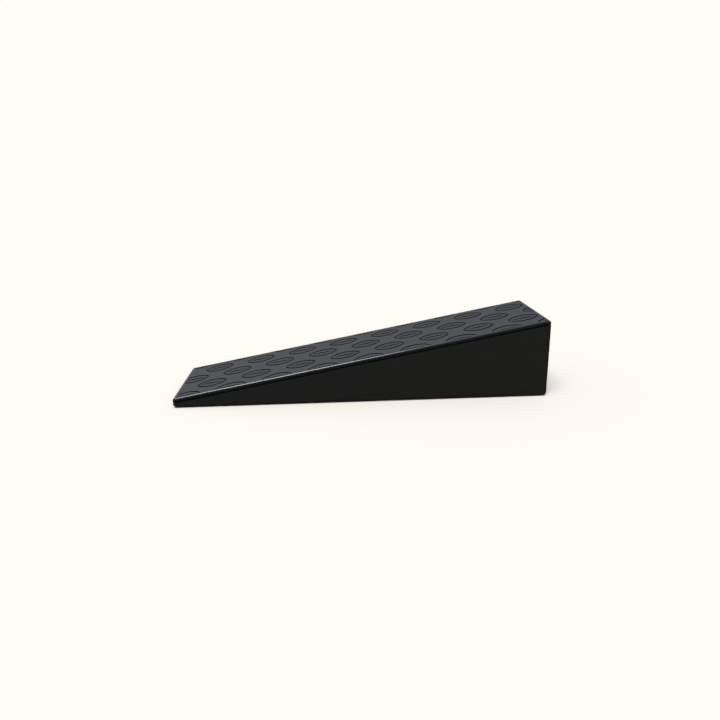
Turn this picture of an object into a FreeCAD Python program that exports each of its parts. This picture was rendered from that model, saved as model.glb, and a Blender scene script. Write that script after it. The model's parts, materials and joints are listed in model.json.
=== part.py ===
"""Slant board: a fixed-angle wedge to stand on, with a rubber tread cap bonded to a hollow moulded shell.

Millimetres. +X runs from the thin toe to the tall heel, +Y is the left side of a person who walks up the
slope, and +Z is up. The origin is on the floor, under the centre of the board.
"""

import FreeCAD, Part
import math
import os

import Sketcher

SIZES = {
    # the whole board
    "overall_length": 360.0,
    "overall_width": 100.0,
    "slope_angle": 10.5,
    "toe_height": 9.0,  # of the slope's plane above the floor, at the very end of the toe
    "corner_radius": 3.6,  # upright corners
    # rubber tread cap, measured down to the deck that it stands on
    "cap_thickness": 4.5,
    "cap_edge_radius": 2.9,
    "cap_lower_edge": 0.5,
    "peg_radius": 2.5,
    "peg_length": 2.0,
    "peg_spacing": 110.0,
    "first_peg": 70.0,
    "peg_offset": 22.0,
    "peg_gap": 0.1,
    # adhesive sheet under the cap, which leaves a shadow gap round its edge
    "bond_thickness": 0.6,
    "bond_setback": 1.6,
    # engraved tread marks: almond-shaped rings, each round a bar, in staggered rows
    "mark_spacing": 44.6,
    "row_spacing": 24.6,
    "first_mark": 34.1,
    "middle_row": 3.0,
    "mark_length": 29.0,
    "mark_width": 19.0,
    "groove_width": 2.2,
    "groove_depth": 1.1,
    "bar_length": 20.0,
    # moulded shell
    "floor_gap": 0.8,  # the shell's lower edge stands this far above the floor
    "wall": 4.5,
    "lower_radius": 2.6,
    "deck_edge": 0.5,
    "solid_toe": 32.0,
    "boss_radius": 4.5,
    "thread_radius": 1.95,
    "thread_depth": 10.8,
    # base cover
    "cover_thickness": 3.0,
    "cover_recess": 0.2,
    "cover_setback": 24.0,
    "skirt_lip": 3.3,
    "cover_gap": 0.2,
    "cover_corner": 1.8,
    "tongue_length": 4.6,
    "tongue_thickness": 1.5,
    "tongue_width": 60.0,
    "screw_hole_radius": 2.15,
    "countersink": 1.85,
    # rib frame
    "frame_gap": 0.5,
    "rib": 2.5,
    "long_rib_offset": 15.0,
    "cell_count": 12,
    "crown_gap": 0.1,
    # cover screws
    "head_radius": 3.95,
    "shank_radius": 1.9,
    "screw_length": 13.0,
    "recess_depth": 1.5,
    "recess_arm": 2.0,
    "recess_slot": 0.45,
    # rubber foot pads
    "pad_thickness": 2.0,
    "pad_length": 34.0,
    "pad_width": 11.0,
    "pad_gap": 0.1,
    "pad_offset": 38.0,
    "toe_pad_offset": 24.0,
}
SCREW_CELLS = (1, 4, 7, 10)  # rib-frame cells, from the toe, that a screw boss goes up through
PEG_ROWS = 3

HALF_LENGTH = "Sizes.overall_length / 2"
HALF_WIDTH = "Sizes.overall_width / 2"
TOE_END = f"-{HALF_LENGTH}"
COVER_BOTTOM = "Sizes.floor_gap + Sizes.cover_recess"
COVER_TOP = f"{COVER_BOTTOM} + Sizes.cover_thickness"
CELL = (
    "(Sizes.overall_length - Sizes.wall - Sizes.solid_toe - 2 * Sizes.frame_gap - Sizes.rib)"
    " / Sizes.cell_count"
)
FRAME_TOE = f"{TOE_END} + Sizes.solid_toe + Sizes.frame_gap"
FRAME_HALF_WIDTH = f"{HALF_WIDTH} - Sizes.wall - Sizes.frame_gap"
SCREW_ROW = f"(({FRAME_HALF_WIDTH} - Sizes.rib) + (Sizes.long_rib_offset + Sizes.rib / 2)) / 2"

doc = FreeCAD.newDocument("SlantBoard")


def make_sheet():
    """Keeps the driving dimensions in a spreadsheet, one alias to a row."""
    sheet = doc.addObject("Spreadsheet::Sheet", "Sizes")
    for row, (alias, size) in enumerate(SIZES.items(), start=1):
        sheet.set(f"A{row}", alias)
        sheet.set(f"B{row}", str(size))
        sheet.setAlias(f"B{row}", alias)
    doc.recompute()
    return sheet


def value(expression):
    """The number that an expression on the sheet comes to."""
    result = sheet.evalExpression(str(expression))
    return float(getattr(result, "Value", result))


def on_slope(x, below):
    """Height above the floor of the plane that lies `below` under the slope, at x: an expression."""
    return (
        f"(Sizes.toe_height - ({below}) / cos(Sizes.slope_angle)"
        f" + (({x}) + {HALF_LENGTH}) * tan(Sizes.slope_angle))"
    )


def deck(x):
    """Height of the shell's deck, which carries the bond sheet."""
    return on_slope(x, "Sizes.cap_thickness")


def underside(x):
    """Height of the tread cap's underside, which lies on the bond sheet."""
    return on_slope(x, "Sizes.cap_thickness - Sizes.bond_thickness")


def ceiling(x):
    """Height of the deck's underside."""
    return on_slope(x, "Sizes.cap_thickness + Sizes.wall")


def new_body(label):
    body = doc.addObject("PartDesign::Body", label)
    body.Label = label
    return body


def sketch_on(body, role, name, height=None):
    """A sketch on one of the body's own planes, raised by the expression height."""
    sketch = body.newObject("Sketcher::SketchObject", name)
    plane = next(f for f in body.Origin.OriginFeatures if f.Role == role)
    sketch.AttachmentSupport = [(plane, "")]
    sketch.MapMode = "FlatFace"
    if height is not None:
        sketch.setExpression(".AttachmentOffset.Base.z", height)
    return sketch


def sketch_on_slope(body, name, below):
    """A sketch on the plane that lies `below` under the slope: its X runs up the slope from the toe's end."""
    sketch = sketch_on(body, "XY_Plane", name)
    sketch.AttachmentOffset = FreeCAD.Placement(
        FreeCAD.Vector(0, 0, 0), FreeCAD.Rotation(FreeCAD.Vector(0, -1, 0), value("Sizes.slope_angle"))
    )
    sketch.setExpression(".AttachmentOffset.Rotation.Angle", "Sizes.slope_angle")
    sketch.setExpression(".AttachmentOffset.Base.x", TOE_END)
    sketch.setExpression(".AttachmentOffset.Base.z", on_slope(TOE_END, below))
    return sketch


def bind(sketch, kind, *args):
    """Adds a constraint whose last argument is an expression."""
    index = sketch.addConstraint(Sketcher.Constraint(kind, *args[:-1], value(args[-1])))
    sketch.setExpression(f"Constraints[{index}]", str(args[-1]))


def add_polygon(sketch, corners):
    """Straight lines through corners, each a pair of expressions."""
    points = [FreeCAD.Vector(value(x), value(y), 0) for x, y in corners]
    first = sketch.GeometryCount
    for start, end in zip(points, points[1:] + points[:1]):
        sketch.addGeometry(Part.LineSegment(start, end))
    for i, (x, y) in enumerate(corners):
        following = first + (i + 1) % len(corners)
        sketch.addConstraint(Sketcher.Constraint("Coincident", first + i, 2, following, 1))
        bind(sketch, "DistanceX", -1, 1, first + i, 1, x)
        bind(sketch, "DistanceY", -1, 1, first + i, 1, y)


def add_rectangle(sketch, x0, x1, y0, y1):
    add_polygon(sketch, [(x0, y0), (x1, y0), (x1, y1), (x0, y1)])


def add_circle(sketch, x, y, radius):
    circle = Part.Circle(FreeCAD.Vector(value(x), value(y), 0), FreeCAD.Vector(0, 0, 1), value(radius))
    index = sketch.addGeometry(circle)
    bind(sketch, "DistanceX", -1, 1, index, 3, x)
    bind(sketch, "DistanceY", -1, 1, index, 3, y)
    bind(sketch, "Radius", index, radius)


def add_arc(sketch, centre, radius, start, end):
    """An arc about centre, from angle start to angle end, in radians. Returns its index."""
    circle = Part.Circle(FreeCAD.Vector(*centre, 0), FreeCAD.Vector(0, 0, 1), radius)
    return sketch.addGeometry(Part.ArcOfCircle(circle, start, end))


def add_slot(sketch, x, y, length, width, along_y=False):
    """A slot with round ends, centred on x, y."""
    reach = f"(({length}) - ({width})) / 2"
    radius = value(f"({width}) / 2")
    turn = math.pi / 2 if along_y else 0.0
    centres = [
        (x, f"({y}) + {side} * {reach}") if along_y else (f"({x}) + {side} * {reach}", y)
        for side in (1, -1)
    ]
    ends = []
    for (cx, cy), facing in zip(centres, (turn, turn + math.pi)):
        ends.append(
            add_arc(sketch, (value(cx), value(cy)), radius, facing - math.pi / 2, facing + math.pi / 2)
        )
    for here, there in ((ends[0], ends[1]), (ends[1], ends[0])):
        line = sketch.addGeometry(
            Part.LineSegment(
                sketch.Geometry[here].EndPoint,
                sketch.Geometry[there].StartPoint,
            )
        )
        sketch.addConstraint(Sketcher.Constraint("Tangent", here, 2, line, 1))
        sketch.addConstraint(Sketcher.Constraint("Tangent", line, 2, there, 1))
    for end, (cx, cy) in zip(ends, centres):
        bind(sketch, "DistanceX", -1, 1, end, 3, cx)
        bind(sketch, "DistanceY", -1, 1, end, 3, cy)
    bind(sketch, "Radius", ends[0], f"({width}) / 2")


def add_almond(sketch, x, y, inset):
    """Two equal arcs that meet in a point at each end, taken in by the expression inset."""
    half_length = "(Sizes.mark_length / 2)"
    half_width = "(Sizes.mark_width / 2)"
    bow = f"(({half_length} ^ 2 + {half_width} ^ 2) / (2 * {half_width}))"
    drop = value(f"{bow} - {half_width}")
    radius = value(f"{bow} - ({inset})")
    lean = math.asin(drop / radius)
    arcs = []
    for side in (-1, 1):
        facing = -side * math.pi / 2
        centre = (value(x), value(y) + side * drop)
        spread = math.pi / 2 - lean
        arcs.append(add_arc(sketch, centre, radius, facing - spread, facing + spread))
    for here, there in (arcs, reversed(arcs)):
        sketch.addConstraint(Sketcher.Constraint("Coincident", here, 2, there, 1))
    for arc, side in zip(arcs, (-1, 1)):
        bind(sketch, "DistanceX", -1, 1, arc, 3, x)
        bind(sketch, "DistanceY", -1, 1, arc, 3, f"({y}) + {side} * ({bow} - {half_width})")
    bind(sketch, "Radius", arcs[0], f"{bow} - ({inset})")


def swept(body, kind, name, sketch, length=None, symmetric=False, reverse=False):
    """A Pad or a Pocket of a sketch. Without a length it goes through everything."""
    feature = body.newObject(f"PartDesign::{kind}", name)
    feature.Profile = sketch
    if length is None:
        feature.Type = "ThroughAll"
    else:
        feature.setExpression("Length", str(length))
    if symmetric:
        feature.SideType = "Symmetric"
    feature.Reversed = reverse
    doc.recompute()
    return feature


def edges_of(body, test):
    """Names of the edges of the body's tip that pass a test on their end points and middle."""
    names = []
    for index, edge in enumerate(body.Tip.Shape.Edges, start=1):
        middle = edge.valueAt((edge.FirstParameter + edge.LastParameter) / 2)
        if test([v.Point for v in edge.Vertexes] + [middle]):
            names.append(f"Edge{index}")
    return names


def dressed(body, kind, name, size, test):
    """A Fillet or a Chamfer on the edges that pass a test."""
    base = body.Tip
    names = edges_of(body, test)
    feature = body.newObject(f"PartDesign::{kind}", name)
    feature.Base = (base, names)
    feature.setExpression("Radius" if kind == "Fillet" else "Size", size)
    doc.recompute()
    return feature


def patterned(body, name, originals, counts, spacings, sketch):
    """Repeats features along a sketch's own X and, when two counts are given, its Y."""
    feature = body.newObject("PartDesign::LinearPattern", name)
    feature.Originals = originals
    for suffix, axis, count, spacing in zip(("", "2"), ("H_Axis", "V_Axis"), counts, spacings):
        setattr(feature, f"Direction{suffix}", (sketch, [axis]))
        setattr(feature, f"Mode{suffix}", "Spacing")
        setattr(feature, f"Occurrences{suffix}", count)
        setattr(feature, f"Spacings{suffix}", [-1.0] * (count - 1))  # -1: every gap takes the offset
        feature.setExpression(f"Offset{suffix}", spacing)
    body.Tip = feature
    doc.recompute()
    return feature


def upright(points):
    """Whether an edge runs straight up."""
    return all(math.hypot(p.x - points[0].x, p.y - points[0].y) < 1e-6 for p in points)


def along_normal(points):
    """Whether an edge stands square to the slope."""
    slope = math.radians(value("Sizes.slope_angle"))
    normal = FreeCAD.Vector(-math.sin(slope), 0, math.cos(slope))
    return all((p - points[0]).cross(normal).Length < 1e-6 for p in points)


def at_height(height):
    """A test for edges that lie level at a height."""
    return lambda points: all(abs(p.z - height) < 1e-6 for p in points)


def on_plane(height):
    """A test for edges that lie in a sloping plane, given as a function of x."""
    return lambda points: all(abs(p.z - value(height(p.x))) < 1e-6 for p in points)


def top(x):
    """Height of the slope itself."""
    return on_slope(x, "0")


def screw_places():
    """Expressions for x and y of each screw: a pair in every screw cell."""
    return [
        (f"{FRAME_TOE} + Sizes.rib / 2 + ({cell} + 0.5) * {CELL}", f"{side} * ({SCREW_ROW})")
        for cell in SCREW_CELLS
        for side in (-1, 1)
    ]


def peg_places():
    """Expressions for the distance up the slope and y of each tread peg."""
    return [
        (f"Sizes.first_peg + {row} * Sizes.peg_spacing", f"{side} * Sizes.peg_offset")
        for row in range(PEG_ROWS)
        for side in (-1, 1)
    ]


def make_bond_sheet():
    """Adhesive sheet between the deck and the tread cap, cut smaller than both, with a hole for each peg."""
    body = new_body("bond_sheet")
    outline = sketch_on_slope(body, "sheet_outline", "Sizes.cap_thickness")
    slope = "cos(Sizes.slope_angle)"
    toe, heel = "Sizes.bond_setback", "Sizes.overall_length - Sizes.bond_setback"
    side = f"{HALF_WIDTH} - Sizes.bond_setback"
    add_rectangle(outline, f"({toe}) / {slope}", f"({heel}) / {slope}", f"-({side})", side)
    swept(body, "Pad", "sheet_block", outline, "Sizes.bond_thickness")
    dressed(body, "Fillet", "sheet_corners", "Sizes.corner_radius - Sizes.bond_setback", along_normal)
    holes = sketch_on_slope(body, "sheet_hole_places", "Sizes.cap_thickness - Sizes.bond_thickness")
    for x, y in peg_places():
        add_circle(holes, x, y, "Sizes.peg_radius + Sizes.peg_gap")
    swept(body, "Pocket", "sheet_holes", holes, "Sizes.bond_thickness")
    return body


def make_tread_cap():
    """Rubber cap with a rounded rim, pegs that place it on the deck, and engraved marks."""
    body = new_body("tread_cap")
    profile = sketch_on(body, "XZ_Plane", "cap_profile")
    add_polygon(
        profile,
        [
            (TOE_END, underside(TOE_END)),
            (HALF_LENGTH, underside(HALF_LENGTH)),
            (HALF_LENGTH, on_slope(HALF_LENGTH, 0)),
            (TOE_END, on_slope(TOE_END, 0)),
        ],
    )
    swept(body, "Pad", "cap_block", profile, "Sizes.overall_width", symmetric=True)
    dressed(body, "Fillet", "cap_corners", "Sizes.corner_radius", upright)
    dressed(body, "Fillet", "cap_rim", "Sizes.cap_edge_radius", on_plane(top))
    dressed(body, "Fillet", "cap_lower_edge", "Sizes.cap_lower_edge", on_plane(underside))

    pegs = sketch_on_slope(body, "cap_peg_places", "Sizes.cap_thickness - Sizes.bond_thickness")
    for x, y in peg_places():
        add_circle(pegs, x, y, "Sizes.peg_radius")
    swept(body, "Pad", "cap_pegs", pegs, "Sizes.bond_thickness + Sizes.peg_length", reverse=True)

    engrave_rows(body, "inner", "Sizes.first_mark", "Sizes.middle_row - Sizes.row_spacing", (8, 2))
    engrave_rows(
        body,
        "outer",
        "Sizes.first_mark - Sizes.mark_spacing / 2",
        "Sizes.middle_row - 2 * Sizes.row_spacing",
        (9, 3),
    )
    return body


def engrave_rows(body, label, x, y, counts):
    """One engraved mark, repeated up the slope and across it."""
    mark = sketch_on_slope(body, f"{label}_mark", "0")
    add_almond(mark, x, y, "0")
    add_almond(mark, x, y, "Sizes.groove_width")
    add_slot(mark, x, y, "Sizes.bar_length", "Sizes.groove_width")
    cut = swept(body, "Pocket", f"{label}_mark_cut", mark, "Sizes.groove_depth")
    spacings = ("Sizes.mark_spacing", "2 * Sizes.row_spacing")
    patterned(body, f"{label}_marks", [cut], counts, spacings, mark)


def make_outer_shell():
    """Hollow moulded wedge: solid toe, deck, side and heel walls, and bosses for the cover's screws."""
    body = new_body("outer_shell")
    outline = sketch_on(body, "XZ_Plane", "shell_profile")
    add_polygon(
        outline,
        [
            (TOE_END, "Sizes.floor_gap"),
            (HALF_LENGTH, "Sizes.floor_gap"),
            (HALF_LENGTH, deck(HALF_LENGTH)),
            (TOE_END, deck(TOE_END)),
        ],
    )
    swept(body, "Pad", "shell_block", outline, "Sizes.overall_width", symmetric=True)
    dressed(body, "Fillet", "shell_corners", "Sizes.corner_radius", upright)
    dressed(body, "Fillet", "shell_lower_edge", "Sizes.lower_radius", at_height(value("Sizes.floor_gap")))
    dressed(body, "Fillet", "shell_deck_edge", "Sizes.deck_edge", on_plane(deck))

    hollow = sketch_on(body, "XZ_Plane", "hollow_profile")
    toe, heel = f"{TOE_END} + Sizes.solid_toe", f"{HALF_LENGTH} - Sizes.wall"
    add_polygon(hollow, [(toe, "0"), (heel, "0"), (heel, ceiling(heel)), (toe, ceiling(toe))])
    swept(body, "Pocket", "hollow", hollow, "Sizes.overall_width - 2 * Sizes.wall", symmetric=True)

    seat = sketch_on(body, "XY_Plane", "cover_seat_outline", "0")
    lip = f"{HALF_WIDTH} - Sizes.skirt_lip"
    toe = f"{TOE_END} + Sizes.cover_setback"
    add_rectangle(seat, toe, f"{HALF_LENGTH} - Sizes.skirt_lip", f"-({lip})", lip)
    swept(body, "Pocket", "cover_seat", seat, COVER_TOP, reverse=True)

    slot = sketch_on(body, "XZ_Plane", "tongue_slot_profile")
    middle = f"({COVER_BOTTOM} + Sizes.cover_thickness / 2)"
    half = "(Sizes.tongue_thickness / 2 + Sizes.cover_gap / 2)"
    add_rectangle(
        slot,
        f"{toe} - Sizes.tongue_length - Sizes.cover_gap",
        f"{toe} + 1",
        f"{middle} - {half}",
        f"{middle} + {half}",
    )
    swept(body, "Pocket", "tongue_slot", slot, "Sizes.tongue_width + 2 * Sizes.cover_gap", symmetric=True)

    places = screw_places()
    for number, (cell, pair) in enumerate(zip(SCREW_CELLS, zip(places[::2], places[1::2])), start=1):
        boss = sketch_on(body, "XY_Plane", f"boss_row_{number}_places", COVER_TOP)
        for x, y in pair:
            add_circle(boss, x, y, "Sizes.boss_radius")
        height = f"{ceiling(pair[0][0])} - ({COVER_TOP}) + Sizes.wall / 2"
        swept(body, "Pad", f"boss_row_{number}", boss, height)
    threads = sketch_on(body, "XY_Plane", "thread_places", COVER_TOP)
    for x, y in places:
        add_circle(threads, x, y, "Sizes.thread_radius")
    swept(body, "Pocket", "threads", threads, "Sizes.thread_depth", reverse=True)

    holes = sketch_on_slope(body, "peg_hole_places", "Sizes.cap_thickness")
    for x, y in peg_places():
        add_circle(holes, x, y, "Sizes.peg_radius + Sizes.peg_gap")
    swept(body, "Pocket", "peg_holes", holes, "Sizes.peg_length + Sizes.peg_gap")
    return body


def make_rib_frame():
    """Open grid of ribs that carries the deck on the cover. The screw bosses go down through its cells."""
    body = new_body("rib_frame")
    wedge = sketch_on(body, "XZ_Plane", "frame_profile")
    heel = f"{HALF_LENGTH} - Sizes.wall - Sizes.frame_gap"
    add_polygon(
        wedge,
        [
            (FRAME_TOE, COVER_TOP),
            (heel, COVER_TOP),
            (heel, f"{ceiling(heel)} - Sizes.crown_gap"),
            (FRAME_TOE, f"{ceiling(FRAME_TOE)} - Sizes.crown_gap"),
        ],
    )
    swept(body, "Pad", "frame_block", wedge, f"2 * ({FRAME_HALF_WIDTH})", symmetric=True)

    column = sketch_on(body, "XY_Plane", "cell_column", COVER_TOP)
    x0, x1 = f"{FRAME_TOE} + Sizes.rib", f"{FRAME_TOE} + {CELL}"
    lane_in, lane_out = "Sizes.long_rib_offset + Sizes.rib / 2", f"{FRAME_HALF_WIDTH} - Sizes.rib"
    middle = "Sizes.long_rib_offset - Sizes.rib / 2"
    add_rectangle(column, x0, x1, f"-({lane_out})", f"-({lane_in})")
    add_rectangle(column, x0, x1, f"-({middle})", middle)
    add_rectangle(column, x0, x1, lane_in, lane_out)
    cut = swept(body, "Pocket", "cell_column_cut", column, reverse=True)
    patterned(body, "cells", [cut], (int(value("Sizes.cell_count")),), (CELL,), column)
    return body


def make_base_cover():
    """Flat cover with a tongue at the toe, countersunk screw holes and a recess for each foot pad."""
    body = new_body("base_cover")
    outline = sketch_on(body, "XY_Plane", "cover_outline", COVER_BOTTOM)
    toe = f"{TOE_END} + Sizes.cover_setback + Sizes.cover_gap"
    heel = f"{HALF_LENGTH} - Sizes.skirt_lip - Sizes.cover_gap"
    side = f"{HALF_WIDTH} - Sizes.skirt_lip - Sizes.cover_gap"
    add_rectangle(outline, toe, heel, f"-({side})", side)
    swept(body, "Pad", "cover_plate", outline, "Sizes.cover_thickness")
    dressed(body, "Fillet", "cover_corners", "Sizes.cover_corner", upright)

    tongue = sketch_on(body, "XZ_Plane", "tongue_profile")
    middle = f"({COVER_BOTTOM} + Sizes.cover_thickness / 2)"
    add_rectangle(
        tongue,
        f"{toe} - Sizes.tongue_length",
        f"{toe} + 1",
        f"{middle} - Sizes.tongue_thickness / 2",
        f"{middle} + Sizes.tongue_thickness / 2",
    )
    swept(body, "Pad", "tongue", tongue, "Sizes.tongue_width", symmetric=True)

    recesses = sketch_on(body, "XY_Plane", "pad_recess_places", COVER_BOTTOM)
    grow = "2 * Sizes.pad_gap"
    for x, y, along_y in PAD_PLACES.values():
        add_slot(recesses, x, y, f"Sizes.pad_length + {grow}", f"Sizes.pad_width + {grow}", along_y)
    depth = f"Sizes.pad_thickness - ({COVER_BOTTOM})"
    swept(body, "Pocket", "pad_recesses", recesses, depth, reverse=True)

    holes = sketch_on(body, "XY_Plane", "screw_hole_places", COVER_BOTTOM)
    for x, y in screw_places():
        add_circle(holes, x, y, "Sizes.screw_hole_radius")
    swept(body, "Pocket", "screw_holes", holes, reverse=True)
    bottom, radius = value(COVER_BOTTOM), value("Sizes.screw_hole_radius")
    centres = [(value(x), value(y)) for x, y in screw_places()]

    def at_hole_mouth(points):
        return at_height(bottom)(points) and any(
            all(abs(math.hypot(p.x - x, p.y - y) - radius) < 1e-6 for p in points) for x, y in centres
        )

    dressed(body, "Chamfer", "countersinks", "Sizes.countersink", at_hole_mouth)
    return body


def make_foot_pad(label, x, y, along_y):
    """Rubber foot pad, bonded into its recess in the cover."""
    body = new_body(label)
    outline = sketch_on(body, "XY_Plane", f"{label}_outline")
    add_slot(outline, x, y, "Sizes.pad_length", "Sizes.pad_width", along_y)
    swept(body, "Pad", f"{label}_block", outline, "Sizes.pad_thickness")
    return body


def make_cover_screw():
    """One countersunk thread-forming screw with a cross recess, point upwards, on the Z axis."""
    body = new_body("cover_screw")
    profile = sketch_on(body, "XZ_Plane", "screw_profile")
    bottom = COVER_BOTTOM
    cone = "(Sizes.head_radius - Sizes.shank_radius)"
    tip = f"{bottom} + Sizes.screw_length"
    add_polygon(
        profile,
        [
            ("0", bottom),
            ("Sizes.head_radius", bottom),
            ("Sizes.shank_radius", f"{bottom} + {cone}"),
            ("Sizes.shank_radius", f"{tip} - Sizes.shank_radius"),
            ("Sizes.shank_radius / 4", tip),
            ("0", tip),
        ],
    )
    turned = body.newObject("PartDesign::Revolution", "screw_turned")
    turned.Profile = profile
    turned.ReferenceAxis = (profile, ["V_Axis"])
    turned.Angle = 360
    doc.recompute()

    cross = sketch_on(body, "XY_Plane", "cross_recess", bottom)
    arm, slot = "Sizes.recess_arm", "Sizes.recess_slot"
    corners = [(arm, slot), (slot, slot), (slot, arm)]
    outline = []
    for turn_x, turn_y in ((1, 1), (-1, 1), (-1, -1), (1, -1)):
        quarter = [(f"{turn_x} * {x}", f"{turn_y} * {y}") for x, y in corners]
        outline += quarter if turn_x == turn_y else quarter[::-1]
    add_polygon(cross, outline)
    swept(body, "Pocket", "cross_recess_cut", cross, "Sizes.recess_depth", reverse=True)
    return body


def make_cover_screws(screw):
    """All the cover's screws, as separate solids of one sub-part."""
    copies = []
    for x, y in screw_places():
        copy = screw.Shape.copy()
        copy.translate(FreeCAD.Vector(value(x), value(y), 0))
        copies.append(copy)
    group = doc.addObject("Part::Feature", "cover_screws")
    group.Label = "cover_screws"
    group.Shape = Part.makeCompound(copies)
    return group


def check(parts):
    """Stops on any object that failed to build, and on any sub-part that isn't a valid solid."""
    for made in doc.Objects:
        if {"Invalid", "Error"} & set(made.State):
            raise RuntimeError(f"{made.Label} did not build: {made.State}")
    for part in parts:
        if part.Shape.isNull() or not part.Shape.isValid() or not part.Shape.Solids:
            raise RuntimeError(f"{part.Label} is not a valid solid")


def volume_steps(body):
    """Prints how each feature changes a body's volume, so that a cut that misses shows."""
    before = 0.0
    for feature in body.Group:
        if feature.TypeId.startswith("PartDesign::"):
            print(f"  {body.Label:12} {feature.Name:22} {feature.Shape.Volume - before:+12.1f}")
            before = feature.Shape.Volume


sheet = make_sheet()
MIDDLE_OF_SCREWS = f"({screw_places()[2][0]} + {screw_places()[4][0]}) / 2"
HEEL_PAD = f"{HALF_LENGTH} - Sizes.skirt_lip - Sizes.wall / 2 - Sizes.pad_length / 2"
TOE_PAD = f"{TOE_END} + Sizes.cover_setback + Sizes.skirt_lip + Sizes.pad_width / 2"
PAD_PLACES = {}
for hand, sign in (("left", 1), ("right", -1)):
    PAD_PLACES[f"toe_pad_{hand}"] = (TOE_PAD, f"{sign} * Sizes.toe_pad_offset", True)
    PAD_PLACES[f"middle_pad_{hand}"] = (MIDDLE_OF_SCREWS, f"{sign} * Sizes.pad_offset", False)
    PAD_PLACES[f"heel_pad_{hand}"] = (HEEL_PAD, f"{sign} * Sizes.pad_offset", False)

parts = [make_outer_shell(), make_bond_sheet(), make_tread_cap(), make_rib_frame(), make_base_cover()]
parts += [make_foot_pad(label, *place) for label, place in PAD_PLACES.items()]
screw = make_cover_screw()
parts.append(make_cover_screws(screw))
doc.recompute()
check(parts)

os.makedirs("parts", exist_ok=True)
for part in parts:
    part.Shape.exportStep(f"parts/{part.Label}.step")
    if part.TypeId == "PartDesign::Body":
        volume_steps(part)
    print(f"{part.Label}: {len(part.Shape.Solids)} solid(s), {part.Shape.Volume / 1000:.2f} cm3")
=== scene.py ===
"""Looks of the slant board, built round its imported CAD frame.

Metres, in the frame's own axes: +X from the thin toe to the tall heel, +Y to the left of someone who faces up
the slope, +Z up. Every place is worked out from the frame's boxes, its record or the sizes in the classes.
"""

import json
import logging
import math
import sys
from abc import ABC, abstractmethod
from collections.abc import Callable, Sequence
from dataclasses import dataclass
from enum import Enum

import bpy
from mathutils import Matrix, Vector

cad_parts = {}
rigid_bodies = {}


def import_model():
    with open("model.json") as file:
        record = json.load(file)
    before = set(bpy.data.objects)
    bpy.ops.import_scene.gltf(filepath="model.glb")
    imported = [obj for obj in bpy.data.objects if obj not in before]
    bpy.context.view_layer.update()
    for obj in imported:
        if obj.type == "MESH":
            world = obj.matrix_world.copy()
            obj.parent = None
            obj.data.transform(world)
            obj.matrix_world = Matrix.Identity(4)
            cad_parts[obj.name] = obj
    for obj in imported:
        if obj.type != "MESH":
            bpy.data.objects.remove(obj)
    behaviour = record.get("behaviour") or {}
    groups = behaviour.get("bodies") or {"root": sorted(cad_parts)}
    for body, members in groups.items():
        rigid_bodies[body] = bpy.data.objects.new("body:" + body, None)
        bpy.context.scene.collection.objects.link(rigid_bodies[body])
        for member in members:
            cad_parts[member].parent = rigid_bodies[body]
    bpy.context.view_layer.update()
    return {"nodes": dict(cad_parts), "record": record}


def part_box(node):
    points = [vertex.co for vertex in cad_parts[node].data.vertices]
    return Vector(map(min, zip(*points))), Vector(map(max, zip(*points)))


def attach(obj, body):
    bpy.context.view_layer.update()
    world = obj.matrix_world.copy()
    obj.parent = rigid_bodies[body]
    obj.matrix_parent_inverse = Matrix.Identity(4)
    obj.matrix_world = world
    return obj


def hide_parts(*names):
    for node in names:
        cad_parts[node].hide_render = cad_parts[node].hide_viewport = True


LOG = logging.getLogger("slant_board")
MM = 0.001
WELD = 0.001 * MM  # points nearer than this are one point
BODY = "root"
QUARTER_TURN = math.pi / 2
STILL = (0.0, 0.0, 0.0)  # no shift, or no turn
PLASTIC_INDEX = 1.48  # refractive indices
RUBBER_INDEX = 1.5

Colour = tuple[float, float, float]
Sockets = dict[str | int, object]


# ---- Node trees written as expressions ----


def _binary(operation: str, turned: bool = False) -> Callable[["Signal", "Signal | float"], "Signal"]:
    """Makes a method of Signal that adds a Math node with two inputs.

    Args:
        operation: What the node works out.
        turned: Whether the signal is the second input.

    Returns:
        The method.
    """

    def method(signal: "Signal", other: "Signal | float") -> "Signal":
        """Adds the node and returns its result."""
        return signal.calculate(operation, *((other, signal) if turned else (signal, other)))

    return method


@dataclass(frozen=True, eq=False)
class Signal:
    """One output socket of a node, with arithmetic that adds Math nodes to its tree.

    Attributes:
        graph: The graph that the socket's node is in.
        socket: The output socket.
    """

    graph: "Graph"
    socket: bpy.types.NodeSocket

    def calculate(self, operation: str, *values: "Signal | float") -> "Signal":
        """Adds a Math node and returns its result."""
        return self.graph.take("ShaderNodeMath", dict(enumerate(values)), operation=operation)

    __add__ = __radd__ = _binary("ADD")
    __sub__, __rsub__ = _binary("SUBTRACT"), _binary("SUBTRACT", turned=True)
    __mul__ = __rmul__ = _binary("MULTIPLY")
    __truediv__ = _binary("DIVIDE")
    __pow__ = _binary("POWER")
    least = _binary("MINIMUM")
    above = _binary("GREATER_THAN")  # 1 where the signal is greater, and 0 elsewhere

    def __abs__(self) -> "Signal":
        """Size without its sign."""
        return self.calculate("ABSOLUTE", self)

    def __neg__(self) -> "Signal":
        """Opposite."""
        return self * -1.0

    def sine(self) -> "Signal":
        """Sine of an angle in radians."""
        return self.calculate("SINE", self)

    def fade(self, start: float, end: float) -> "Signal":
        """A smooth ramp from 0 at start to 1 at end, which may run either way.

        Args:
            start: The value where the ramp leaves 0.
            end: The value where the ramp reaches 1.

        Returns:
            The ramp.
        """
        if start < end:
            sockets = {0: self, 1: start, 2: end, 3: 0.0, 4: 1.0}
        else:
            sockets = {0: self, 1: end, 2: start, 3: 1.0, 4: 0.0}
        return self.graph.take("ShaderNodeMapRange", sockets, interpolation_type="SMOOTHSTEP")


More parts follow.
